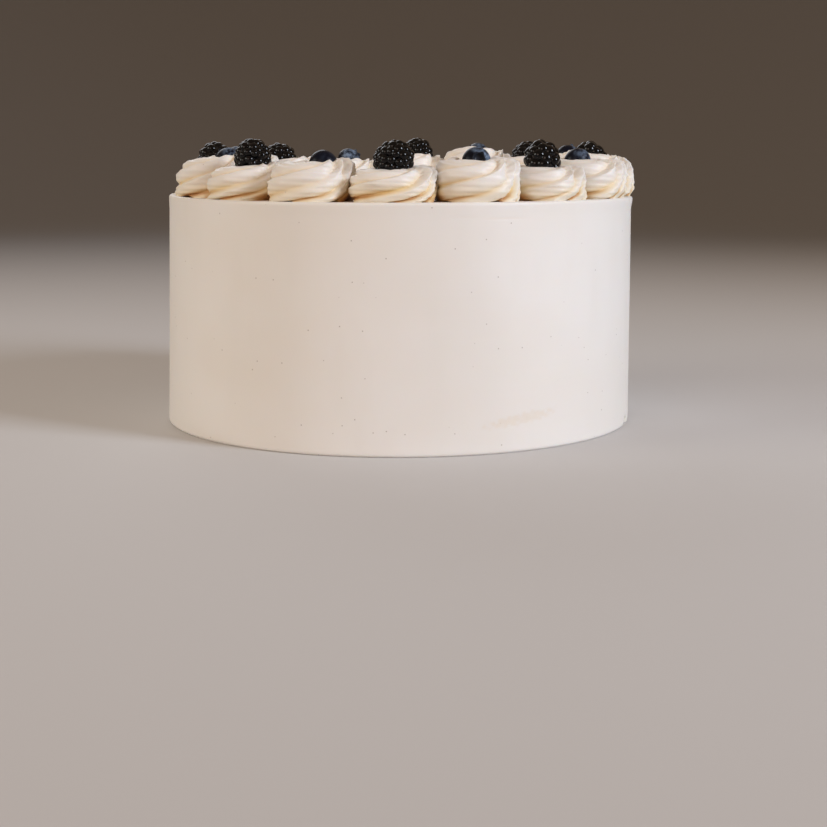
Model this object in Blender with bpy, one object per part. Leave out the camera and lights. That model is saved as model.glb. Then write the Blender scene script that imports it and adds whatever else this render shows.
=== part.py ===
"""Tall frosted cake with a ring of piped rosettes, each topped by one berry.

Metres, +Z up. The origin is the centre of the flat base, and the front faces -Y.
The cake, every rosette and every berry is a closed solid of its own.
"""
import math

import bmesh
import bpy
import numpy as np
from mathutils import Matrix, Vector

# Cake: a round eight inch layer with its coat of frosting
CAKE_RADIUS = 0.102
CAKE_HEIGHT = 0.098
TOP_EDGE_ROUND = 0.0022
TOP_EDGE_TURNS = (0, 30, 60, 90)
BASE_EDGE_ROUND = 0.0010
LIP_PROUD = 0.0006
LIP_BAND = 0.009
WALL_SEGMENTS = 72

# A chip out of the frosting at the foot of the wall, on the right
NOTCH_ANGLE = math.radians(73)
NOTCH_WIDTH = 0.0080
NOTCH_HEIGHT = 0.0045
NOTCH_DEPTH = 0.0022

# Ring of rosettes, set a little to the right of the cake's axis
ROSETTES = 16
RING_CENTRE = Vector((0.0026, 0.0, 0.0))
RING_RADIUS = 0.0837
RING_TURN = math.radians(-3.2)
GAP = 0.0003

# One rosette: a rope of frosting from a star nozzle, coiled counter-clockwise
COIL_RADIUS = 0.0098
ROPE_RADIUS = 0.0087
ROPE_LIFT = 0.0071
TEETH = 9
RIDGE_OUT = 0.0009
GROOVE_IN = 0.0017
SECTION_FROM = math.radians(-50)
SECTION_TO = math.radians(150)
SECTION_ROWS = 12
RIDGE_FADE = math.radians(50)
RIDGE_LEAST = 0.25
COIL_GROWTH = 0.10
COIL_END = math.radians(-40)
COIL_STEP = math.radians(50)
WEDGE_SHARPNESS = 16
OUTWARD_TILT = 0.12

# Each rosette's width and height against the usual one, counter-clockwise from the front.
# The heavy berries press theirs lower, and most stand taller at the sides and the back.
ROSETTE_WIDTHS = (
    1.01, 1.00, 0.98, 1.00, 0.99, 1.01, 0.98, 1.02, 0.99, 1.00, 1.02, 0.98, 0.99, 1.01, 1.00, 1.00,
)
ROSETTE_HEIGHTS = (
    0.93, 1.17, 0.93, 1.08, 1.20, 1.08, 1.00, 1.22, 1.06, 1.02, 1.08, 1.02, 1.05, 1.12, 0.98, 1.12,
)

# Berries stand in the rosettes: aggregate ones on the even places, round ones on the odd
BRAMBLE_WIDTH = 0.0154
BRAMBLE_LENGTH = 0.0172
BRAMBLE_CENTRE_HEIGHT = 0.0160
DRUPELET_RELIEF = 0.0008
BLUEBERRY_WIDTH = 0.0114
BLUEBERRY_DEPTH = 0.0102
BLUEBERRY_CENTRE_HEIGHT = 0.0150
CROWN_POINTS = 5
CROWN_RADIUS = 0.0023
CROWN_FLARE = 1.12
CROWN_RISE = 0.0009
HOLLOW_RADIUS = 0.0016
HOLLOW_DEPTH = 0.0012
HOLLOW_EDGE_DEPTH = 0.0010
BERRY_ROWS = 8
NEST_CLEARANCE = 0.0032

# How far each berry sits off the usual place in its rosette, in mm: outwards,
# counter-clockwise and up
BERRY_NUDGES = (
    (0, 0, 0), (0, 0, 0.4), (0, -1, -0.3), (-3, -1, 0.0),
    (-2, 0, 0), (-3, 2, 1.8), (-2, 3, 0.6), (0, 0, 3.0),
    (0, -2, 2.2), (0, 0, 0.2), (3.0, 2.6, -0.4), (2, 2, 1.0),
    (1, 0, -0.5), (-3.6, 1.3, 0.4), (0, 0.6, 0.2), (0, 4.4, -0.8),
)

# Lean of each berry's axis and the way it leans, counter-clockwise from the front, in degrees
BRAMBLE_LEANS = ((58, 78), (18, 200), (40, 330), (65, 120), (30, 20), (50, 240), (35, 160), (8, 60))
BLUEBERRY_LEANS = ((75, 8), (66, 200), (48, 150), (70, 300), (58, 120), (64, 250), (55, 230), (72, 185))
BRAMBLE_SPIN = math.radians(37)

FROSTING = (0.88, 0.80, 0.69, 1.0)
PIPING = (0.90, 0.84, 0.76, 1.0)
BLACK_SKIN = (0.012, 0.010, 0.016, 1.0)
BLUE_SKIN = (0.030, 0.040, 0.075, 1.0)
FROSTING_ROUGHNESS = 0.5
BLACK_ROUGHNESS = 0.15
BLUE_ROUGHNESS = 0.35
CREASE = math.radians(28)


def clear_scene():
    for old in list(bpy.data.objects):
        bpy.data.objects.remove(old, do_unlink=True)


def finish(name, points, triangles, colour, roughness):
    """Make one named object from points and faces, with its own material."""
    mesh = bpy.data.meshes.new(name)
    mesh.from_pydata([tuple(p) for p in points], [], [tuple(t) for t in triangles])
    mesh.validate()
    mesh.shade_smooth()
    mesh.set_sharp_from_angle(angle=CREASE)
    material = bpy.data.materials.new(name)
    material.use_nodes = True
    shader = material.node_tree.nodes["Principled BSDF"]
    shader.inputs["Base Color"].default_value = colour
    shader.inputs["Roughness"].default_value = roughness
    shader.inputs["Metallic"].default_value = 0.0
    mesh.materials.append(material)
    piece = bpy.data.objects.new(name, mesh)
    bpy.context.scene.collection.objects.link(piece)
    return piece


def row_triangles(rows, columns, slanted):
    """Triangles between stacked rows of points, counted from the lowest row up.

    On a slanted grid every row starts one column further round, so the short
    diagonal joins a column to the row above its neighbour.
    """
    triangles = []
    for row in range(rows - 1):
        for column in range(columns):
            here = row * columns + column
            beside = row * columns + (column + 1) % columns
            above, above_beside = here + columns, beside + columns
            if slanted:
                triangles += [(here, beside, above), (beside, above_beside, above)]
            else:
                triangles += [(here, beside, above_beside), (here, above_beside, above)]
    return triangles


def capped(points, rows, columns, low_pole, high_pole, slanted=False):
    """Close a stack of rows with a pole point below and one above."""
    triangles = row_triangles(rows, columns, slanted)
    low, high = len(points), len(points) + 1
    top_row = (rows - 1) * columns
    for column in range(columns):
        beside = (column + 1) % columns
        triangles.append((low, beside, column))
        triangles.append((high, top_row + column, top_row + beside))
    return np.vstack([points, [low_pole, high_pole]]), triangles


def wall_angles():
    """Even steps round the wall, with three closer ones across the notch."""
    half = NOTCH_WIDTH / 2 / CAKE_RADIUS
    step = 2 * math.pi / WALL_SEGMENTS
    even = [i * step for i in range(WALL_SEGMENTS)]
    kept = [a for a in even if abs(a - NOTCH_ANGLE) > half + step / 4]
    return sorted(kept + [NOTCH_ANGLE - half, NOTCH_ANGLE, NOTCH_ANGLE + half])


def cake_profile():
    """Radius and height of each row of the wall, from the base up to the flat top."""
    rows = [
        (CAKE_RADIUS - BASE_EDGE_ROUND, 0.0),
        (CAKE_RADIUS, BASE_EDGE_ROUND),
        (CAKE_RADIUS, NOTCH_HEIGHT),
        (CAKE_RADIUS, CAKE_HEIGHT - LIP_BAND),
    ]
    lip = CAKE_RADIUS + LIP_PROUD
    for turn in TOP_EDGE_TURNS:
        angle = math.radians(turn)
        rows.append((
            lip - TOP_EDGE_ROUND * (1 - math.cos(angle)),
            CAKE_HEIGHT - TOP_EDGE_ROUND * (1 - math.sin(angle)),
        ))
    return rows


def frosted_cake():
    """The wall is turned about the axis, with its lowest points pushed in at the notch."""
    angles = wall_angles()
    points = []
    for radius, height in cake_profile():
        for angle in angles:
            across = abs(angle - NOTCH_ANGLE) * CAKE_RADIUS
            cut = 0.0
            if height < NOTCH_HEIGHT and across < NOTCH_WIDTH / 4:
                cut = NOTCH_DEPTH
            points.append((
                (radius - cut) * math.sin(angle),
                -(radius - cut) * math.cos(angle),
                height,
            ))
    points, triangles = capped(
        points, len(cake_profile()), len(angles), (0.0, 0.0, 0.0), (0.0, 0.0, CAKE_HEIGHT))
    return finish("frosted_cake", points, triangles, FROSTING, FROSTING_ROUGHNESS)


def place_angle(place):
    """Angle of a rosette round the ring, counter-clockwise from the front."""
    return RING_TURN + 2 * math.pi * place / ROSETTES


def outward(angle):
    return Vector((math.sin(angle), -math.cos(angle), 0.0))


def onward(angle):
    return Vector((math.cos(angle), math.sin(angle), 0.0))


def berry_frame(place):
    """Centre, tilt and half sizes of the berry at one place."""
    angle = place_angle(place)
    out_mm, on_mm, up_mm = BERRY_NUDGES[place]
    centre = RING_CENTRE + outward(angle) * (RING_RADIUS + out_mm / 1000)
    centre += onward(angle) * (on_mm / 1000)
    if place % 2 == 0:
        lean, towards = BRAMBLE_LEANS[place // 2]
        half = Vector((BRAMBLE_WIDTH, BRAMBLE_WIDTH, BRAMBLE_LENGTH)) / 2
        centre.z = CAKE_HEIGHT + BRAMBLE_CENTRE_HEIGHT + up_mm / 1000
    else:
        lean, towards = BLUEBERRY_LEANS[place // 2]
        half = Vector((BLUEBERRY_WIDTH, BLUEBERRY_WIDTH, BLUEBERRY_DEPTH)) / 2
        centre.z = CAKE_HEIGHT + BLUEBERRY_CENTRE_HEIGHT + up_mm / 1000
    side = onward(math.radians(towards))
    tilt = Matrix.Rotation(math.radians(lean), 3, side)
    return centre, tilt, half


def press_nest(points, place):
    """Push cream that a berry would fill straight down, to the berry's underside."""
    centre, tilt, half = berry_frame(place)
    room = np.array(half) + NEST_CLEARANCE
    untilt = np.array(tilt.transposed())
    local = (points - np.array(centre)) @ untilt.T / room
    rise = untilt[:, 2] / room
    a = rise @ rise
    b = local @ rise
    c = (local ** 2).sum(axis=1) - 1
    root = np.sqrt(np.maximum(b ** 2 - a * c, 0))
    to_underside = (-b - root) / a
    inside = c < 0
    pressed = points.copy()
    pressed[inside, 2] += to_underside[inside]
    return pressed


def keep_in_wedge(points, angle):
    """Draw the sides in smoothly, so that each rosette stays in its share of the ring."""
    out, on = np.array(outward(angle)), np.array(onward(angle))
    rel = points - np.array(RING_CENTRE)
    far, side = rel @ out, rel @ on
    limit = np.abs(far) * math.tan(math.pi / ROSETTES) - GAP * 0.55
    drawn = side / (1 + (np.abs(side) / limit) ** WEDGE_SHARPNESS) ** (1 / WEDGE_SHARPNESS)
    return points + (drawn - side)[:, None] * on


def coil_radius(heading):
    """The coil opens out over its one turn, and steps back in where it ends."""
    turned = (heading - COIL_END) / (2 * math.pi) % 1
    step = np.clip((1 - turned) * 2 * math.pi / COIL_STEP, 0, 1)
    eased = step ** 2 * (3 - 2 * step)
    return COIL_RADIUS * (1 + COIL_GROWTH * (turned * eased - 0.5))


def rosette(place, chance):
    """A coiled rope whose star ridges climb one turn of the rope per turn of the coil.

    The nozzle keeps its heading while it circles, so a ridge at section angle s
    lies at coil angle s plus a constant. Each column of the grid is one ridge or
    one groove, which runs from the foot over the crest and into the middle.
    """
    angle = place_angle(place)
    width, tall = ROSETTE_WIDTHS[place], ROSETTE_HEIGHTS[place]
    start = chance.uniform(0, 2 * math.pi)
    columns = 2 * TEETH
    section = np.linspace(SECTION_FROM, SECTION_TO, SECTION_ROWS)[:, None]
    column = np.arange(columns)[None, :]
    heading = start + 2 * math.pi * column / columns + (section - SECTION_FROM)
    fade = np.clip((SECTION_TO - section) / RIDGE_FADE, RIDGE_LEAST, 1)
    rope = ROPE_RADIUS + np.where(column % 2 == 0, RIDGE_OUT, -GROOVE_IN) * fade
    reach = (coil_radius(heading) + rope * np.cos(section)) * width
    lean = 1 - OUTWARD_TILT * reach * np.cos(heading) / COIL_RADIUS
    height = np.maximum(ROPE_LIFT + rope * np.sin(section), 0) * tall * lean
    out, on, up = (np.array(way) for way in (outward(angle), onward(angle), Vector((0, 0, 1))))
    centre = np.array(RING_CENTRE) + out * RING_RADIUS + up * (CAKE_HEIGHT + GAP)
    points = (
        centre
        + (reach * np.cos(heading))[..., None] * out
        + (reach * np.sin(heading))[..., None] * on
        + height[..., None] * up
    ).reshape(-1, 3)
    foot = points[:columns].copy()
    foot[:, 2] = centre[2]
    middle = centre + up * (ROPE_LIFT + ROPE_RADIUS / 2) * tall
    points, triangles = capped(
        np.vstack([foot, points]), SECTION_ROWS + 1, columns, centre, middle, slanted=True)
    points = press_nest(keep_in_wedge(points, angle), place)
    return finish(f"rosette_{place + 1:02d}", points, triangles, PIPING, FROSTING_ROUGHNESS)


def bramble(number, place):
    """An egg of drupelets: one at each corner of a once divided icosphere."""
    centre, tilt, half = berry_frame(place)
    coarse = bmesh.new()
    bmesh.ops.create_icosphere(coarse, subdivisions=2, radius=1.0)
    tips = [v.co.normalized() for v in coarse.verts]
    coarse.free()
    fine = bmesh.new()
    bmesh.ops.create_icosphere(fine, subdivisions=3, radius=1.0)
    spin = Matrix.Rotation(BRAMBLE_SPIN * number, 3, "Z")
    points = []
    for vert in fine.verts:
        way = vert.co.normalized()
        is_tip = max(way.dot(tip) for tip in tips) > 0.9999
        inset = 0.0 if is_tip else DRUPELET_RELIEF
        turned = spin @ way
        shaped = Vector((turned.x * (half.x - inset), turned.y * (half.y - inset),
                         turned.z * (half.z - inset)))
        points.append(centre + tilt @ shaped)
    triangles = [[v.index for v in face.verts] for face in fine.faces]
    fine.free()
    return finish(f"bramble_{number:02d}", points, triangles, BLACK_SKIN, BLACK_ROUGHNESS)


def blueberry(number, place):
    """A flattened ball whose top opens in a five pointed crown round a hollow."""
    centre, tilt, half = berry_frame(place)
    columns = 2 * CROWN_POINTS
    opening = math.asin(CROWN_RADIUS / half.x)
    points = []
    for row in range(BERRY_ROWS):
        polar = math.pi - (math.pi - opening) * (row + 1) / BERRY_ROWS
        for column in range(columns):
            around = 2 * math.pi * column / columns
            radius = half.x * math.sin(polar)
            height = half.z * math.cos(polar)
            if row == BERRY_ROWS - 1 and column % 2 == 0:
                height += CROWN_RISE
                radius *= CROWN_FLARE
            points.append((radius * math.cos(around), radius * math.sin(around), height))
    rim_height = half.z * math.cos(opening)
    for column in range(columns):
        around = 2 * math.pi * column / columns
        points.append((HOLLOW_RADIUS * math.cos(around), HOLLOW_RADIUS * math.sin(around),
                       rim_height - HOLLOW_EDGE_DEPTH))
    points, triangles = capped(points, BERRY_ROWS + 1, columns, (0.0, 0.0, -half.z),
                               (0.0, 0.0, rim_height - HOLLOW_DEPTH))
    placed = [centre + tilt @ Vector(p) for p in points]
    return finish(f"blueberry_{number:02d}", placed, triangles, BLUE_SKIN, BLUE_ROUGHNESS)


def build():
    clear_scene()
    chance = np.random.default_rng(16)
    frosted_cake()
    for place in range(ROSETTES):
        rosette(place, chance)
    for place in range(ROSETTES):
        number = place // 2 + 1
        if place % 2 == 0:
            bramble(number, place)
        else:
            blueberry(number, place)


build()
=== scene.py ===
import math

import bmesh
import bpy
import numpy as np
from mathutils import Euler, Matrix, Vector


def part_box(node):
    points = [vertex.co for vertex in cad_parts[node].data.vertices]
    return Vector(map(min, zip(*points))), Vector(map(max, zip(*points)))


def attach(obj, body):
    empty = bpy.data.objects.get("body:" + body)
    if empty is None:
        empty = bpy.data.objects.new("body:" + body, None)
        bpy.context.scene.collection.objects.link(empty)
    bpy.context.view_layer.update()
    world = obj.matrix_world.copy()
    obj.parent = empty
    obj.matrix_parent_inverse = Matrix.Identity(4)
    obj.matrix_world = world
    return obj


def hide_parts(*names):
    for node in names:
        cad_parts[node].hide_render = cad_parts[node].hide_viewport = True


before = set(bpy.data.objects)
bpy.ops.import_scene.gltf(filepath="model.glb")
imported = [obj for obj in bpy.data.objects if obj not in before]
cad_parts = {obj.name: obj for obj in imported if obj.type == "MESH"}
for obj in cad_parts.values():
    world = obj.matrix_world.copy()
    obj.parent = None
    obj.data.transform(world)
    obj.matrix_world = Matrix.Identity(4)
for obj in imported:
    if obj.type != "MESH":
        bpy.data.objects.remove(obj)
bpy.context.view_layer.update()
print("frame loaded:", len(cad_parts), "nodes")


# Settings shared by the cake and everything on it, in metres
cake = {
    "radius": 0.1019, "height": 0.098, "topEdge": 0.0011, "foot": 0.0008,
    "around": 480, "wallRows": 150, "topRings": 30,
    "waveHeight": 0.00012, "fineHeight": 0.000004, "topDip": 0.00025, "topSwirl": 0.0002,
    "lipProud": 0.0006, "lipBand": 0.006, "lipFromDeg": 40, "lipToDeg": 130,
    "leanDeg": 270, "leanHalfDeg": 62, "leanTop": 0.0016, "leanFoot": 0.0005, "rimRise": 0.0009,
    "notchDeg": 73, "notchWidth": 0.0080, "notchHeight": 0.0045, "notchDepth": 0.0022,
}
ring = {"count": 16, "centre": (0.0026, 0.0), "radius": 0.0837, "turnDeg": -3.2}


# Small numpy helpers

def smooth(low, high, value):
    # eases from 0 at low to 1 at high
    x = np.clip((value - low) / (high - low), 0, 1)
    return x * x * (3 - 2 * x)


def ripple(chance, waves, *axes):
    # a sum of sines with whole or free wave numbers, each with a random phase, about 1 high
    total = 0
    for wave in waves:
        phase = chance.uniform(0, 2 * math.pi)
        total = total + np.sin(sum(w * a for w, a in zip(wave, axes)) + phase)
    return total / math.sqrt(len(waves))


def gridFaces(rows, columns, start=0):
    # quads between stacked rows that close round on themselves
    row = np.arange(rows - 1)[:, None] * columns + start
    here = np.arange(columns)[None, :]
    beside = (here + 1) % columns
    quads = np.stack([row + here, row + beside, row + columns + beside, row + columns + here], -1)
    return quads.reshape(-1, 4)


def fanFaces(rowStart, columns, pole, upward):
    # triangles from one row to its pole
    here = np.arange(columns) + rowStart
    beside = (np.arange(columns) + 1) % columns + rowStart
    poles = np.full(columns, pole)
    order = [here, beside, poles] if upward else [beside, here, poles]
    return np.stack(order, -1)


def newPiece(name, points, faceArrays, material, node, values=None):
    # puts arrays into a mesh at the origin, hangs it under the root body and hides the CAD node it stands
    # for
    mesh = bpy.data.meshes.new(name)
    faces = [face for array in faceArrays for face in array.tolist()]
    mesh.from_pydata(points.tolist(), [], faces)
    for key, array in (values or {}).items():
        layer = mesh.attributes.new(key, "FLOAT", "POINT")
        layer.data.foreach_set("value", np.asarray(array, np.float32).ravel())
    mesh.shade_smooth()
    mesh.materials.append(material)
    piece = bpy.data.objects.new(name, mesh)
    bpy.context.scene.collection.objects.link(piece)
    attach(piece, "root")
    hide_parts(node)
    return piece


# Materials

def newMaterial(name):
    material = bpy.data.materials.new(name)
    material.use_nodes = True
    shader = material.node_tree.nodes["Principled BSDF"]
    return material, material.node_tree, shader


def addNode(tree, kind, **settings):
    node = tree.nodes.new(kind)
    for key, value in settings.items():
        if key in node.inputs:
            node.inputs[key].default_value = value
        else:
            setattr(node, key, value)
    return node


def colourMix(tree, factor, first, second):
    # blends two colours, each a socket or a plain colour
    mix = addNode(tree, "ShaderNodeMix", data_type="RGBA")
    tree.links.new(factor, mix.inputs["Factor"])
    for socket, value in ((mix.inputs[6], first), (mix.inputs[7], second)):
        if isinstance(value, tuple):
            socket.default_value = (*value, 1)
        else:
            tree.links.new(value, socket)
    return mix.outputs[2]


def mapRange(tree, value, low, high, toLow=0.0, toHigh=1.0):
    node = addNode(tree, "ShaderNodeMapRange", interpolation_type="SMOOTHSTEP")
    tree.links.new(value, node.inputs["Value"])
    node.inputs["From Min"].default_value = low
    node.inputs["From Max"].default_value = high
    node.inputs["To Min"].default_value = toLow
    node.inputs["To Max"].default_value = toHigh
    return node.outputs["Result"]


def multiply(tree, first, second):
    node = addNode(tree, "ShaderNodeMath", operation="MULTIPLY")
    for socket, value in zip(node.inputs, (first, second)):
        if isinstance(value, float):
            socket.default_value = value
        else:
            tree.links.new(value, socket)
    return node.outputs[0]


def noiseAt(tree, scale, stretch=(1, 1, 1), detail=3.0, roughness=0.5):
    coords = addNode(tree, "ShaderNodeTexCoord")
    mapping = addNode(tree, "ShaderNodeMapping")
    mapping.inputs["Scale"].default_value = stretch
    noise = addNode(tree, "ShaderNodeTexNoise", Scale=scale, Detail=detail, Roughness=roughness)
    tree.links.new(coords.outputs["Object"], mapping.inputs["Vector"])
    tree.links.new(mapping.outputs[0], noise.inputs["Vector"])
    return noise.outputs["Fac"]


def attributeAt(tree, name):
    return addNode(tree, "ShaderNodeAttribute", attribute_name=name).outputs["Fac"]


def specksAt(tree, scale, radius):
    # small dots where a surface cuts scattered balls: cell distance under the radius
    coords = addNode(tree, "ShaderNodeTexCoord")
    cells = addNode(tree, "ShaderNodeTexVoronoi", Scale=scale)
    tree.links.new(coords.outputs["Object"], cells.inputs["Vector"])
    return mapRange(tree, cells.outputs["Distance"], radius * scale, radius * scale * 0.5)


def addBump(tree, shader, height, distance, strength=1.0):
    bump = addNode(tree, "ShaderNodeBump", Strength=strength, Distance=distance)
    tree.links.new(height, bump.inputs["Height"])
    tree.links.new(bump.outputs["Normal"], shader.inputs["Normal"])
    return bump


creamLook = {
    "wall": (0.85, 0.82, 0.775), "wallWarm": (0.83, 0.79, 0.73), "wallDull": (0.81, 0.775, 0.72),
    "dullShare": 0.5, "thin": (0.76, 0.62, 0.44),
    "speck": (0.33, 0.27, 0.22), "speckCell": 185.0, "speckRadius": 0.00036,
    "wallSpecks": 0.65, "pipingSpecks": 0.4,
    # crest is the cream's own colour; the colours after it are painted light: a warm bounce glow at the
    # foot, shade in the channels, golden shade and bounce in the crevices, and dark shade in the seams
    "crest": (0.855, 0.82, 0.768), "paintedFootGlow": (0.87, 0.80, 0.68), "channelShade": (0.85, 0.74, 0.58),
    "creviceShade": (0.84, 0.63, 0.28), "seamShade": (0.50, 0.23, 0.07),
    "roughness": 0.48, "subsurface": 0.12, "subsurfaceReach": 0.003,
}


def creamBase(name):
    material, tree, shader = newMaterial(name)
    shader.inputs["Roughness"].default_value = creamLook["roughness"]
    shader.inputs["Subsurface Weight"].default_value = creamLook["subsurface"]
    shader.inputs["Subsurface Radius"].default_value = (1.0, 0.65, 0.4)
    shader.inputs["Subsurface Scale"].default_value = creamLook["subsurfaceReach"]
    return material, tree, shader


def makeWallMaterial():
    # scraped buttercream: broad warm clouds, vanilla specks, thin places, fine scraper lines
    material, tree, shader = creamBase("scraped_buttercream")
    clouds = noiseAt(tree, 14.0, (1, 1, 1.6), 2.0)
    colour = colourMix(tree, mapRange(tree, clouds, 0.35, 0.7), creamLook["wall"], creamLook["wallWarm"])
    bands = mapRange(tree, noiseAt(tree, 55.0, (1, 1, 0.3), 3.0), 0.45, 0.75)
    colour = colourMix(tree, multiply(tree, bands, creamLook["dullShare"]), colour, creamLook["wallDull"])
    specks = specksAt(tree, creamLook["speckCell"], creamLook["speckRadius"])
    colour = colourMix(tree, multiply(tree, specks, creamLook["wallSpecks"]), colour, creamLook["speck"])
    colour = colourMix(tree, attributeAt(tree, "thin"), colour, creamLook["thin"])
    tree.links.new(colour, shader.inputs["Base Color"])
    lines = noiseAt(tree, 30.0, (1, 1, 12), 3.0)
    addBump(tree, shader, lines, 0.00010, 0.25)
    return material


def makePipingMaterial():
    # piped buttercream: the cream's own colour on the crests, with painted light mixed in: a warm bounce
    # glow low down, and painted shade in the channels, the golden crevices and the dark seams
    material, tree, shader = creamBase("piped_buttercream")
    grooveShade = attributeAt(tree, "grooveShade")
    creviceShade = attributeAt(tree, "creviceShade")
    # painted warm bounce light on the piping near the cake
    colour = colourMix(tree, attributeAt(tree, "low"), creamLook["crest"], creamLook["paintedFootGlow"])
    # painted shade in the grooves
    colour = colourMix(tree, grooveShade, colour, creamLook["channelShade"])
    # painted golden shade and bounce light in the low grooves and between the rosettes
    colour = colourMix(tree, creviceShade, colour, creamLook["creviceShade"])
    # painted dark shade in the gaps between rosettes and in the deep pockets at their feet
    colour = colourMix(tree, attributeAt(tree, "seamShade"), colour, creamLook["seamShade"])
    specks = specksAt(tree, creamLook["speckCell"], creamLook["speckRadius"])
    colour = colourMix(tree, multiply(tree, specks, creamLook["pipingSpecks"]), colour, creamLook["speck"])
    tree.links.new(colour, shader.inputs["Base Color"])
    grain = noiseAt(tree, 900.0, (1, 1, 1), 2.0)
    addBump(tree, shader, grain, 0.00008, 0.4)
    return material


berryLook = {
    "black": (0.001, 0.001, 0.0015), "blackWarm": (0.003, 0.001, 0.0015),
    "blackRoughness": 0.07, "blackShine": 0.26,
    "blue": (0.004, 0.005, 0.011), "bloomAndLitSide": (0.20, 0.27, 0.38), "blueShine": 0.12,
    "calyx": (0.02, 0.022, 0.03),
}


def makeBrambleMaterial():
    material, tree, shader = newMaterial("black_drupelets")
    warmth = mapRange(tree, noiseAt(tree, 260.0), 0.5, 0.75)
    colour = colourMix(tree, warmth, berryLook["black"], berryLook["blackWarm"])
    tree.links.new(colour, shader.inputs["Base Color"])
    shader.inputs["Roughness"].default_value = berryLook["blackRoughness"]
    shader.inputs["Specular IOR Level"].default_value = berryLook["blackShine"]
    return material


def makeBlueberryMaterial():
    material, tree, shader = newMaterial("bloomed_blue_skin")
    streaks = mapRange(tree, noiseAt(tree, 420.0, (1, 1, 1), 5.0, 0.6), 0.35, 0.7)
    # the bloom is real wax with painted light: it lies mostly on the side the window lights
    bloomAndLitSide = multiply(tree, attributeAt(tree, "bloomAndLitSide"), streaks)
    colour = colourMix(tree, bloomAndLitSide, berryLook["blue"], berryLook["bloomAndLitSide"])
    colour = colourMix(tree, attributeAt(tree, "calyx"), colour, berryLook["calyx"])
    tree.links.new(colour, shader.inputs["Base Color"])
    shader.inputs["Specular IOR Level"].default_value = berryLook["blueShine"]
    rough = mapRange(tree, bloomAndLitSide, 0.0, 0.6, 0.28, 0.62)
    tree.links.new(rough, shader.inputs["Roughness"])
    grain = noiseAt(tree, 1500.0, (1, 1, 1), 2.0)
    addBump(tree, shader, grain, 0.00004, 0.4)
    return material


wallMaterial = makeWallMaterial()
pipingMaterial = makePipingMaterial()
brambleMaterial = makeBrambleMaterial()
blueberryMaterial = makeBlueberryMaterial()
print("materials ready")


# Cake body

wallMarks = {
    # thin rough patch: centre angle and height, half sizes
    "patchDeg": 28, "patchHeight": 0.0132, "patchHalfDeg": 9, "patchHalfHeight": 0.0022,
    "patchSlope": 0.00021, "patchDepth": 0.00015,
    # fine scraper line under the rim, which sinks a little towards the right
    "lineFromDeg": 8, "lineToDeg": 36, "lineHeight": 0.0925, "lineSlope": -0.00005,
    "lineHalf": 0.0004, "lineDepth": 0.0001,
}


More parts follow.
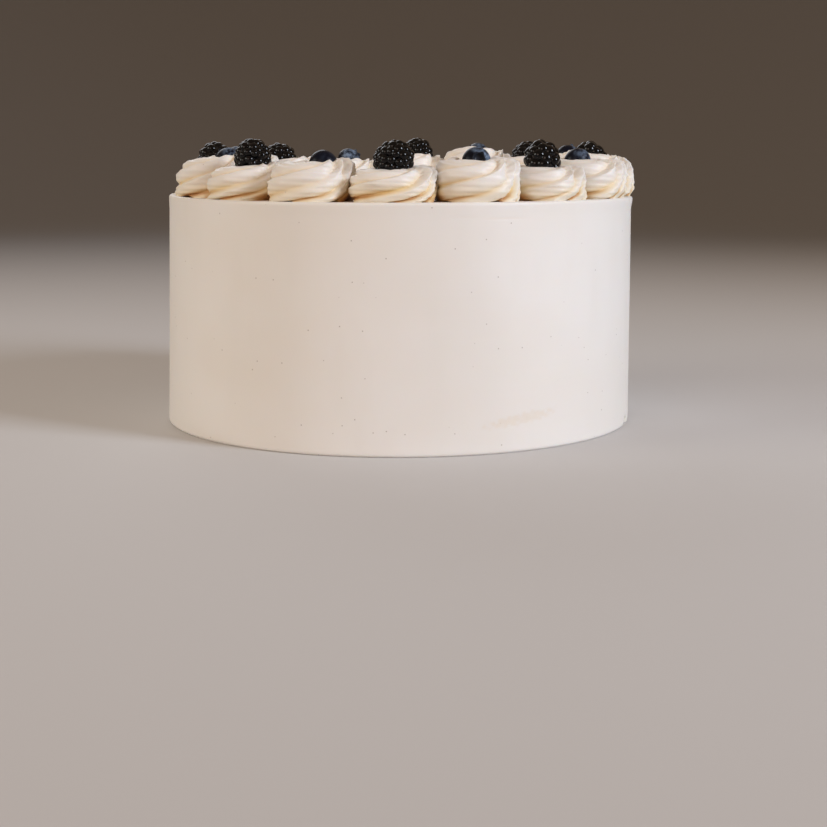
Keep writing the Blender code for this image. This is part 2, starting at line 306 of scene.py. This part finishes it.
def cakeBody():
    # radius as a function of angle and height: a straight wall with slow waves, a lip,
    # a scraper line and a chip; the top is rings that shrink to the middle
    chance = np.random.default_rng(3)
    angle = np.linspace(0, 2 * math.pi, cake["around"], endpoint=False)[None, :]
    height = np.linspace(0, cake["height"] - cake["topEdge"], cake["wallRows"])[:, None]
    waves = ripple(chance, [(1, 20), (2, -30), (3, 12), (5, 45)], angle, height)
    fine = ripple(chance, [(2, 900), (1, 1400), (3, 2100)], angle, height)
    radius = cake["radius"] + cake["waveHeight"] * waves + cake["fineHeight"] * fine
    deg = np.degrees(angle)
    lip = smooth(cake["lipFromDeg"], 80, deg) * smooth(cake["lipToDeg"] + 20, 100, deg)
    lipUp = smooth(cake["height"] - cake["lipBand"], cake["height"] - cake["topEdge"], height)
    radius = radius + cake["lipProud"] * lipUp * (0.25 + 0.75 * lip)
    leftSide = smooth(cake["leanHalfDeg"], 0, np.abs(deg - cake["leanDeg"]))
    upShare = height / cake["height"]
    radius = radius - leftSide * (cake["leanTop"] * upShare - cake["leanFoot"] * (1 - upShare))
    radius = radius - cake["foot"] * smooth(cake["foot"], 0, height)
    across = (deg - cake["notchDeg"]) * math.pi / 180 * cake["radius"]
    chip = smooth(cake["notchWidth"] / 2, cake["notchWidth"] / 6, np.abs(across) + 0.0006 * fine)
    chip = chip * smooth(cake["notchHeight"], cake["notchHeight"] * 0.45, height + 0.0003 * fine)
    radius = radius - cake["notchDepth"] * chip
    m = wallMarks
    patchMiddle = m["patchHeight"] + m["patchSlope"] * (deg - m["patchDeg"])
    patch = ((deg - m["patchDeg"]) / m["patchHalfDeg"]) ** 2
    patch = patch + ((height - patchMiddle) / m["patchHalfHeight"]) ** 2
    pits = ripple(chance, [(150, 1500), (210, -1100), (90, 2300)], angle, height)
    patch = smooth(1.3, 0.2, patch + 0.45 * pits)
    radius = radius - m["patchDepth"] * patch * (0.6 + 0.4 * pits)
    lineMiddle = m["lineHeight"] + m["lineSlope"] * (deg - m["lineFromDeg"])
    line = smooth(m["lineHalf"], 0, np.abs(height - lineMiddle))
    line = line * smooth(m["lineFromDeg"], 18, deg) * smooth(m["lineToDeg"], 28, deg)
    radius = radius - m["lineDepth"] * line
    rise = cake["rimRise"] * leftSide
    wall = np.stack([radius * np.sin(angle), -radius * np.cos(angle), height + rise * lipUp], -1)

    turn = np.linspace(0, math.pi / 2, 7)[1:, None]
    edge = radius[-1:] - cake["topEdge"] * (1 - np.cos(turn))
    edgeHeight = cake["height"] - cake["topEdge"] * (1 - np.sin(turn)) + rise
    shrink = np.linspace(1, 0, cake["topRings"] + 1)[1:-1, None]
    top = edge[-1:] * shrink
    swirl = ripple(chance, [(1, 130), (2, 210), (1, -90)], angle, top)
    topLevel = cake["height"] - cake["topDip"]
    topHeight = topLevel + cake["topSwirl"] * swirl * (1 - shrink ** 6) + rise * shrink ** 12
    rings = np.vstack([edge, top])
    heights = np.vstack([edgeHeight, topHeight])
    cap = np.stack([rings * np.sin(angle), -rings * np.cos(angle), heights], -1)

    rows = cake["wallRows"] + len(rings)
    points = np.vstack([wall.reshape(-1, 3), cap.reshape(-1, 3)])
    poles = np.array([[0, 0, 0], [0, 0, topLevel]])
    thin = np.zeros(len(points))
    thinWall = 0.28 * patch + 0.6 * chip + 0.16 * line
    thin[: thinWall.size] = np.clip(thinWall, 0, 1).ravel()
    faces = [
        gridFaces(rows, cake["around"]),
        fanFaces(0, cake["around"], len(points), upward=False),
        fanFaces((rows - 1) * cake["around"], cake["around"], len(points) + 1, upward=True),
    ]
    points = np.vstack([points, poles])
    thin = np.append(thin, [0, 0])
    return newPiece("frosting_coat", points, faces, wallMaterial, "frosted_cake",
                    {"thin": thin})


cakeBody()
print("cake body ready")


# Piped rosettes

rosette = {
    "teeth": 9, "acrossTooth": 22, "rows": 92,
    "coilRadius": 0.0094, "ropeRadius": 0.0085, "lift": 0.0073,
    "fromDeg": -58, "toDeg": 160, "climb": 0.78, "footSquare": 5.0, "topSquare": 2.2,
    "tiltFront": 0.04, "tiltBack": 0.12, "sideTilt": 0.025,
    # width and height of each against the usual one, counter-clockwise from the front
    "widths": (
        1.01, 1.00, 0.98, 1.00, 0.99, 1.01, 0.98, 1.02, 0.99, 1.00, 1.02, 0.98, 0.99, 1.01, 1.00, 1.00,
    ),
    "heights": (
        0.853, 1.08, 0.885, 1.05, 1.20, 1.08, 1.00, 1.22, 1.04, 0.90, 0.95, 1.02, 1.05, 1.135, 0.93, 1.034,
    ),
    # the ridges run nearly level across the front and left, and climb steeply round the right
    "levelFromDeg": -140, "levelToDeg": 30, "levelEase": 40, "levelShare": 0.28,
    # there they lie down as sheets, and on the right they stand up over the top as fins
    "finFromDeg": 0, "finUpDeg": 45, "finSideFromDeg": -5, "finSideDeg": 60,
    "sheetOut": 0.0003, "sheetIn": 0.0015, "sheetValley": 0.76, "sheetAtop": 0.35,
    "finOut": 0.0022, "finOutAtDeg": 45, "finIn": 0.0023, "finValley": 0.40,
    "spacing": 0.20, "grooveLeast": 0.35, "grooveMost": 1.35,
    "growth": 0.18, "stepDeg": 40, "endFromDeg": 52, "endToDeg": 84,
    "tongue": 0.0011, "tail": 0.0016, "tailHalfDeg": 14,
    "outLimit": 0.1022, "outEase": 0.0014, "footLimit": 0.1012,
    "sink": 0.0006, "overlapOnward": 0.0034, "overlapBack": 0.0012, "gapFoot": 0.0020,
    "wedgeSharpness": 12, "wobble": 0.00022, "tear": 0.00005,
    # heights over the cake below which a warm bounce glow is painted on the piping, and below which
    # painted dark shade fills the gaps between rosettes and the deep pockets of the grooves
    "glowFrom": 0.0115, "glowTo": 0.0015, "seamShadeFrom": 0.0052, "seamShadeTo": 0.0014,
    "pocketShadeFrom": 0.0056, "pocketShadeTo": 0.0018,
}


def berryCentre(place):
    # centre of the berry that stands in this rosette, from the frame
    kind = "bramble" if place % 2 == 0 else "blueberry"
    low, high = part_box(f"{kind}_{place // 2 + 1:02d}")
    return np.array((Vector(low) + Vector(high)) / 2)


def ringAxes(place):
    # outward and onward directions, and the rosette's centre on top of the cake
    angle = math.radians(ring["turnDeg"]) + 2 * math.pi * place / ring["count"]
    out = np.array((math.sin(angle), -math.cos(angle), 0.0))
    on = np.array((math.cos(angle), math.sin(angle), 0.0))
    middle = np.array((*ring["centre"], cake["height"]))
    return out, on, middle


def grooveShape(share, fin):
    # 0 on a crest and 1 in the groove; a sheet falls away slowly and then rises in a step,
    # a fin falls at once and rises in a long hollow
    valley = rosette["sheetValley"] * (1 - fin) + rosette["finValley"] * fin
    fall = np.clip(share / valley, 0, 1)
    rise = np.clip((1 - share) / (1 - valley), 0, 1)
    sheet = np.where(share < valley, fall ** 2.0, rise ** 0.9)
    blade = 1 - (1 - np.where(share < valley, fall, rise)) ** 1.7
    return sheet * (1 - fin) + blade * fin


def headingTable():
    # heading against ridge phase: where the ridges are level, few of them cross a given height
    r = rosette
    deg = np.linspace(-180, 180, 721)
    level = smooth(r["levelFromDeg"] - r["levelEase"], r["levelFromDeg"] + r["levelEase"], deg)
    level = level * smooth(r["levelToDeg"] + r["levelEase"], r["levelToDeg"] - r["levelEase"], deg)
    level = np.maximum(level, smooth(r["levelFromDeg"] + 360 - r["levelEase"],
                                     r["levelFromDeg"] + 360 + r["levelEase"], deg))
    density = r["levelShare"] * level + (1 - level)
    phase = np.concatenate([[0], np.cumsum((density[1:] + density[:-1]) / 2)])
    return phase / phase[-1] * 2 * math.pi, np.radians(deg)


phaseTable, headings = headingTable()


def pipedRosette(place, chance):
    # a coiled star rope: its ridges climb as they go round, and each ridge is one band of
    # columns that runs from the foot over the top and into the middle; headings are counted
    # from the front of the cake, as all of them are piped with the same turn of the hand, and
    # each is a little lower on its outer side, those at the back most
    r = rosette
    out, on, middle = ringAxes(place)
    teeth, across = r["teeth"], r["acrossTooth"]
    column = np.arange(teeth * across)
    tooth, share = (column // across)[None, :], (column % across / across)[None, :]

    def perTooth(least, most):
        # one random value for each ridge, blended across the column bands
        values = chance.uniform(least, most, teeth)
        return values[tooth] * (1 - share) + values[(tooth + 1) % teeth] * share

    section = np.radians(np.linspace(r["fromDeg"], r["toDeg"], r["rows"]))[:, None]
    climbed = (section - section[0]) / (section[-1] - section[0])
    start = chance.uniform(0, 2 * math.pi)
    shift = perTooth(-1, 1) * (1 - climbed) + perTooth(-1, 1) * climbed
    phase = start + 2 * math.pi * (tooth + share + r["spacing"] * shift) / teeth
    phase = phase + r["climb"] * (section - section[0])
    heading = np.interp(phase % (2 * math.pi), phaseTable, headings)
    headingDeg = np.degrees(heading)

    fin = smooth(math.radians(r["finFromDeg"]), math.radians(r["finUpDeg"]), section)
    fin = fin * smooth(r["finSideFromDeg"], r["finSideDeg"], headingDeg)
    fin = fin * (1 - smooth(125, 178, headingDeg))
    corner = np.exp(-((np.degrees(section) - r["finOutAtDeg"]) / 27) ** 2)
    hollow = grooveShape(share, fin)
    depths = chance.uniform(r["grooveLeast"], r["grooveMost"], teeth)[tooth]
    depths = depths * (1 - fin) + chance.uniform(0.75, 1.15, teeth)[tooth] * fin
    inward = smooth(math.radians(r["toDeg"]), math.radians(110), section)
    atop = 1 - (1 - r["sheetAtop"]) * smooth(math.radians(30), math.radians(80), section)
    outBy = (r["sheetOut"] * atop * (1 - fin) + r["finOut"] * corner * fin) * (0.3 + 0.7 * inward)
    shallow = 1 - 0.75 * smooth(math.radians(45), math.radians(88), section)
    inBy = (r["sheetIn"] * atop * (1 - fin) + r["finIn"] * shallow * fin) * (0.3 + 0.7 * inward)
    wobble = ripple(chance, [(3, 2), (5, -3), (2, 7)], heading, section * 3)
    tear = ripple(chance, [(9, 31), (4, 47), (13, 23)], tooth, section * 1.7)
    rope = r["ropeRadius"] + outBy * perTooth(0.4, 1.1) - (outBy + inBy) * hollow * depths
    rope = rope + r["wobble"] * wobble + r["tear"] * tear * (1 - hollow) ** 3

    # the coil opens out over its turn and steps back in where it ends, in a pulled tail
    endDeg = chance.uniform(r["endFromDeg"], r["endToDeg"])
    turned = (heading - math.radians(endDeg)) / (2 * math.pi) % 1
    step = smooth(0, 1, (1 - turned) * 360 / r["stepDeg"])
    coil = r["coilRadius"] * (1 + r["growth"] * (turned * step - 0.5))
    footward = smooth(math.radians(-10), math.radians(-50), section)
    fromTail = np.degrees(turned * 2 * math.pi)
    tail = np.exp(-((np.minimum(fromTail, 360 - fromTail) + 4) / r["tailHalfDeg"]) ** 2)
    flare = r["tongue"] * perTooth(0, 1) * (1 - hollow) + r["tail"] * tail
    power = np.where(section < 0, r["footSquare"], r["topSquare"])
    profile = np.sign(np.cos(section)) * (1 - np.abs(np.sin(section)) ** power) ** (1 / power)
    reach = (coil + rope * profile + flare * footward) * r["widths"][place]
    aside = (reach * np.sin(heading))[..., None] * np.array((1.0, 0.0, 0.0))
    aside = aside + (reach * np.cos(heading))[..., None] * np.array((0.0, -1.0, 0.0))
    tilt = r["tiltBack"] + (r["tiltFront"] - r["tiltBack"]) * smooth(-0.3, 0.5, -out[1])
    lean = 1 - tilt * (aside @ out) / r["coilRadius"] + r["sideTilt"] * np.sin(heading)
    height = np.maximum(r["lift"] + rope * np.sin(section), 0) * r["heights"][place] * lean
    centre = middle + out * ring["radius"]
    points = centre + aside + (height - r["sink"])[..., None] * np.array((0.0, 0.0, 1.0))

    # each rosette spreads over the next one's edge, is flattened where the last one lies on it,
    # draws in at its foot, and stays just inside the line of the wall
    rel = points - middle
    far, side = rel @ out, rel @ on
    raised = smooth(0.0002, 0.0038, height)
    overlap = np.where(side > 0, r["overlapOnward"] * smooth(0.002, 0.007, height), r["overlapBack"])
    overlap = overlap - r["gapFoot"] * (1 - raised)
    limit = np.abs(far) * math.tan(math.pi / ring["count"]) + overlap
    drawn = side / (1 + (np.abs(side) / limit) ** r["wedgeSharpness"]) ** (1 / r["wedgeSharpness"])
    outside = smooth(0.0004, 0.0050, height)
    footLimit = r["footLimit"] - out[0] * ring["centre"][0]
    outFrom = r["outLimit"] * outside + footLimit * (1 - outside) - r["outEase"]
    beyond = np.maximum(far - outFrom, 0)
    eased = np.minimum(far, outFrom) + r["outEase"] * (1 - np.exp(-beyond / r["outEase"]))
    points = points + (drawn - side)[..., None] * on + (eased - far)[..., None] * out

    # painted shade mask: the deeper the hollow of a groove, the darker and warmer its colour
    grooveShade = np.clip(hollow ** 2.5 * depths, 0, 1)
    # share of painted warm bounce light, full at the cake's top and gone higher up
    low = smooth(r["glowFrom"], r["glowTo"], height)
    # how close a point is to the next rosette, a mask for painted shade where they meet
    betweenShade = smooth(0.82, 0.99, np.abs(drawn) / limit)
    # painted golden shade, low in the grooves and where the rosettes meet
    creviceShade = low * (0.10 + 1.10 * hollow ** 1.3) * depths + 0.9 * betweenShade * low ** 2
    # painted dark shade in the gaps at the foot and in the deep pockets of the grooves
    seamShade = betweenShade * smooth(r["seamShadeFrom"], r["seamShadeTo"], height)
    pocketShade = smooth(0.30, 0.80, hollow * np.clip(depths, 0, 1))
    seamShade = np.maximum(seamShade, pocketShade * smooth(r["pocketShadeFrom"], r["pocketShadeTo"], height))

    rows, columns = r["rows"], teeth * across
    foot = centre - np.array((0, 0, r["sink"]))
    pole = points[-1].mean(axis=0)
    faces = [
        gridFaces(rows, columns),
        fanFaces(0, columns, rows * columns, upward=False),
        fanFaces((rows - 1) * columns, columns, rows * columns + 1, upward=True),
    ]
    points = np.vstack([points.reshape(-1, 3), foot, pole])
    values = {"grooveShade": np.append(grooveShade.ravel(), [0, 0.5]),
              "creviceShade": np.append(np.clip(creviceShade, 0, 1).ravel(), [1, 0]),
              "seamShade": np.append(seamShade.ravel(), [0, 0]),
              "low": np.append(low.ravel(), [1, 0])}
    name = f"rosette_{place + 1:02d}"
    return newPiece(f"piped_{name}", points, faces, pipingMaterial, name, values)


pipingChance = np.random.default_rng(22)
for place in range(ring["count"]):
    pipedRosette(place, pipingChance)
print("rosettes ready")


# Berries

bramble = {
    "halfWidth": 0.0077, "halfLength": 0.0086, "roundness": 3, "jitter": 0.12, "squeeze": 0.12,
    "fill": 0.58, "flat": 1.06, "spread": 0.98,
    "coreShare": 0.80,
    # drupelets on each, and its lean and the way it leans, counter-clockwise from the front
    "drupelets": (64, 38, 38, 50, 44, 52, 48, 68),
    "leans": ((58, 78), (18, 200), (40, 330), (65, 120), (30, 20), (50, 240), (35, 160), (8, 60)),
}
blueberry = {
    "halfWidth": 0.0057, "halfDepth": 0.0051, "around": 60, "bodyRows": 30,
    "openingRadius": 0.0023, "flare": 0.16, "rise": 0.0008,
    "leans": ((75, 8), (66, 200), (48, 150), (70, 300), (58, 120), (64, 250), (55, 230), (72, 185)),
    # how bloomed each one is, and the way round its bloom is thickest; the bloom is real wax, but it is
    # mostly laid on the right, where the window light falls, so it also paints light on the lit side
    "bloomAndLitSide": (0.95, 0.55, 0.7, 0.6, 0.95, 0.8, 0.95, 0.06),
    "litSideDeg": (80, 60, 120, 10, 40, 330, 70, 70),
}


def leanMatrix(leanDeg, towardsDeg):
    # turns up towards a heading counted counter-clockwise from the front
    towards = math.radians(towardsDeg)
    side = Vector((math.cos(towards), math.sin(towards), 0))
    return np.array(Matrix.Rotation(math.radians(leanDeg), 3, side))


def unitBall(subdivisions):
    # points and triangles of a ball of even triangles
    ball = bmesh.new()
    bmesh.ops.create_icosphere(ball, subdivisions=subdivisions, radius=1.0)
    points = np.array([vert.co for vert in ball.verts])
    faces = np.array([[vert.index for vert in face.verts] for face in ball.faces])
    ball.free()
    return points, faces


ballPoints, ballFaces = unitBall(bramble["roundness"])
corePoints, coreFaces = unitBall(4)


def brambleBerry(number, place, chance):
    # drupelets on a golden spiral over an egg, each a ball drawn out a little and narrowed
    # sideways, round a core
    b = bramble
    count = b["drupelets"][number - 1]
    half = np.array((b["halfWidth"], b["halfWidth"], b["halfLength"]))
    pitch = math.sqrt(4 * math.pi * (half[0] * half[2]) / count * 1.155)
    index = np.arange(count) + 0.5
    polar = np.arccos(1 - 2 * index / count)
    around = math.pi * (1 + math.sqrt(5)) * index
    ways = np.stack([np.sin(polar) * np.cos(around), np.sin(polar) * np.sin(around), np.cos(polar)], -1)
    ways = ways + chance.normal(0, b["jitter"] * pitch / half[0], ways.shape)
    ways = ways / np.linalg.norm(ways, axis=1, keepdims=True)
    sizes = b["fill"] * pitch * (1 + chance.uniform(-1, 1, (count, 3)) * b["squeeze"])
    sizes = sizes * (1 + chance.uniform(-1, 1, (count, 1)) * b["jitter"])
    seats = ways * (half - sizes.mean(axis=1, keepdims=True) * b["flat"] * 1.02)
    balls = ballPoints[None, :, :] * sizes[:, None, :]
    outBy = (balls * ways[:, None, :]).sum(axis=2, keepdims=True) * ways[:, None, :]
    drupelets = seats[:, None, :] + (balls - outBy) * b["spread"] + outBy * b["flat"]
    core = corePoints * half * b["coreShare"]
    turn = leanMatrix(*b["leans"][number - 1])
    points = np.vstack([drupelets.reshape(-1, 3), core]) @ turn.T + berryCentre(place)
    offsets = np.arange(count)[:, None, None] * len(ballPoints)
    faces = [(ballFaces[None] + offsets).reshape(-1, 3), coreFaces + count * len(ballPoints)]
    name = f"bramble_{number:02d}"
    return newPiece(f"black_{name}", points, faces, brambleMaterial, name)


def roundBerry(number, place, chance):
    # a turned profile from the underside to the crown's rim and down into its hollow;
    # the rim rises and flares at five tips
    b = blueberry
    centre = berryCentre(place)
    opening = math.asin(b["openingRadius"] / b["halfWidth"])
    polar = np.linspace(math.pi, opening, b["bodyRows"] + 1)[1:]
    rimHeight = b["halfDepth"] * math.cos(opening)
    radius = np.concatenate([b["halfWidth"] * np.sin(polar),
                             b["openingRadius"] * np.array((1.06, 1.05, 0.96, 0.84, 0.74, 0.5, 0.2))])
    height = np.concatenate([b["halfDepth"] * np.cos(polar),
                             rimHeight + b["rise"] * np.array((0.35, 0.8, 0.8, 0.2, -0.8, -1.25, -1.3))])
    tipShare = np.concatenate([0 * polar, (0.4, 1.0, 1.0, 0.4, 0.1, 0.0, 0.0)])
    around = np.linspace(0, 2 * math.pi, b["around"], endpoint=False)[None, :]
    tips = (0.5 + 0.5 * np.cos(5 * around + number)) ** 1.3
    radius = radius[:, None] * (1 + b["flare"] * tips * tipShare[:, None])
    height = height[:, None] + b["rise"] * (tips - 0.4) * tipShare[:, None]
    lumps = ripple(chance, [(2, 300), (3, -200), (1, 500)], around, height)
    radius = radius * (1 + 0.008 * lumps)
    points = np.stack([radius * np.cos(around), radius * np.sin(around), height], -1)
    rows, columns = len(radius), b["around"]
    turn = leanMatrix(*b["leans"][number - 1])
    placed = points @ turn.T
    spots = ripple(chance, [(1, 400), (2, 250), (3, -350), (4, 900)], around, height)
    # bloom thickest towards the window-lit right side and a little upwards: real wax and painted light on
    # the lit side
    toward = math.radians(b["litSideDeg"][number - 1])
    towardLitSide = (placed @ np.array((math.sin(toward), -math.cos(toward), 0.35))) / b["halfWidth"]
    bloomAndLitSide = b["bloomAndLitSide"][number - 1] * smooth(-0.15, 0.75, towardLitSide + 0.30 * spots)
    calyx = np.concatenate([0 * polar, (0.3, 0.7, 0.9, 1.0, 1.0, 1.0, 1.0)])[:, None] + 0 * around
    ends = np.array([[0, 0, -b["halfDepth"]], [0, 0, height[-1].mean()]])
    points = np.vstack([points.reshape(-1, 3), ends]) @ turn.T + centre
    faces = [gridFaces(rows, columns),
             fanFaces(0, columns, rows * columns, upward=False),
             fanFaces((rows - 1) * columns, columns, rows * columns + 1, upward=True)]
    values = {"bloomAndLitSide": np.append(bloomAndLitSide.ravel(), [0, 0]), "calyx": np.append(calyx.ravel(), [0, 1])}
    name = f"blueberry_{number:02d}"
    return newPiece(f"ripe_{name}", points, faces, blueberryMaterial, name, values)


berryChance = np.random.default_rng(8)
for place in range(ring["count"]):
    number = place // 2 + 1
    if place % 2 == 0:
        brambleBerry(number, place, berryChance)
    else:
        roundBerry(number, place, berryChance)
print("berries ready")


# Stage, light and camera

stage = {
    "floorRadius": 1.6, "bowlRadius": 3.0, "bowlHeight": 0.9, "rings": 40, "around": 96,
    "floor": (0.62, 0.61, 0.60), "backdrop": (0.26, 0.26, 0.27), "fadeFrom": 0.25, "fadeTo": 1.5,
}


def bowlStage():
    # a flat disc that curves up into a wall all round, open at the top, pale near the cake
    s = stage
    flat = np.linspace(0.05, s["floorRadius"], 12)
    turn = np.linspace(0, math.pi / 2, s["rings"] - 11)[1:]
    radius = np.concatenate([flat, s["floorRadius"] + (s["bowlRadius"] - s["floorRadius"]) * np.sin(turn)])
    height = np.concatenate([0 * flat, s["bowlHeight"] * (1 - np.cos(turn))])
    around = np.linspace(0, 2 * math.pi, s["around"], endpoint=False)[None, :]
    points = np.stack([radius[:, None] * np.cos(around), radius[:, None] * np.sin(around),
                       height[:, None] + 0 * around], -1).reshape(-1, 3)
    faces = gridFaces(len(radius), s["around"]).tolist()
    faces += fanFaces(0, s["around"], len(points), upward=False).tolist()
    mesh = bpy.data.meshes.new("stage_bowl")
    mesh.from_pydata(points.tolist() + [[0, 0, 0]], [], faces)
    mesh.shade_smooth()
    material, tree, shader = newMaterial("stage_paper")
    coords = addNode(tree, "ShaderNodeTexCoord")
    axes = addNode(tree, "ShaderNodeSeparateXYZ")
    tree.links.new(coords.outputs["Object"], axes.inputs[0])
    back = mapRange(tree, axes.outputs["Y"], s["fadeFrom"], s["fadeTo"])
    tree.links.new(colourMix(tree, back, s["floor"], s["backdrop"]), shader.inputs["Base Color"])
    shader.inputs["Roughness"].default_value = 0.9
    mesh.materials.append(material)
    bowl = bpy.data.objects.new("stage_bowl", mesh)
    bpy.context.scene.collection.objects.link(bowl)


def areaLight(name, settings):
    # a rectangular lamp with a limited spread that faces the cake
    data = bpy.data.lights.new(name, "AREA")
    data.spread = math.radians(settings["spreadDeg"])
    data.shape = "RECTANGLE"
    data.size, data.size_y = settings["size"]
    data.energy = settings["power"]
    data.color = settings["colour"]
    lamp = bpy.data.objects.new(name, data)
    lamp.location = settings["place"]
    towards = Vector(aim) - Vector(settings["place"])
    lamp.rotation_euler = towards.to_track_quat("-Z", "Y").to_euler()
    bpy.context.scene.collection.objects.link(lamp)


lights = {
    "window": {"place": (1.34, -0.87, 0.75), "size": (0.45, 0.60), "spreadDeg": 70,
               "power": 3.4, "colour": (0.80, 0.87, 1.0)},
    "fill": {"place": (-0.75, -1.60, 0.55), "size": (0.9, 0.7), "spreadDeg": 80,
             "power": 1.14, "colour": (1.0, 0.78, 0.68)},
    "side": {"place": (-1.55, -0.45, 0.60), "size": (0.9, 0.7), "spreadDeg": 80,
             "power": 1.73, "colour": (1.0, 0.99, 0.93)},
    "behind": {"place": (-0.60, 1.80, 1.00), "size": (1.2, 1.0), "spreadDeg": 80,
               "power": 1.6, "colour": (0.84, 0.90, 1.0)},
}
room = {"colour": (1.0, 0.734, 0.516), "strength": 0.32}
camera = {
    "place": (0.0, -0.68, 0.1170), "pitchDeg": 6.069, "yawDeg": 0.538,
    "lens": 66.52, "shiftY": -0.1197,
}
aim = (0, 0, 0.06)

bowlStage()
for name, settings in lights.items():
    areaLight(name, settings)

world = bpy.data.worlds.new("soft_room")
world.use_nodes = True
world.node_tree.nodes["Background"].inputs["Color"].default_value = (*room["colour"], 1)
world.node_tree.nodes["Background"].inputs["Strength"].default_value = room["strength"]
bpy.context.scene.world = world
bpy.context.scene.view_settings.view_transform = "Standard"

lensData = bpy.data.cameras.new("camera")
lensData.lens = camera["lens"]
lensData.shift_y = camera["shiftY"]
lensData.clip_start = 0.01
cameraObject = bpy.data.objects.new("camera", lensData)
cameraObject.location = camera["place"]
tip, turn = math.radians(90 - camera["pitchDeg"]), -math.radians(camera["yawDeg"])
cameraObject.rotation_euler = Euler((tip, 0, turn))
bpy.context.scene.collection.objects.link(cameraObject)
bpy.context.scene.camera = cameraObject
print("stage, lights and camera ready")

bpy.context.view_layer.update()
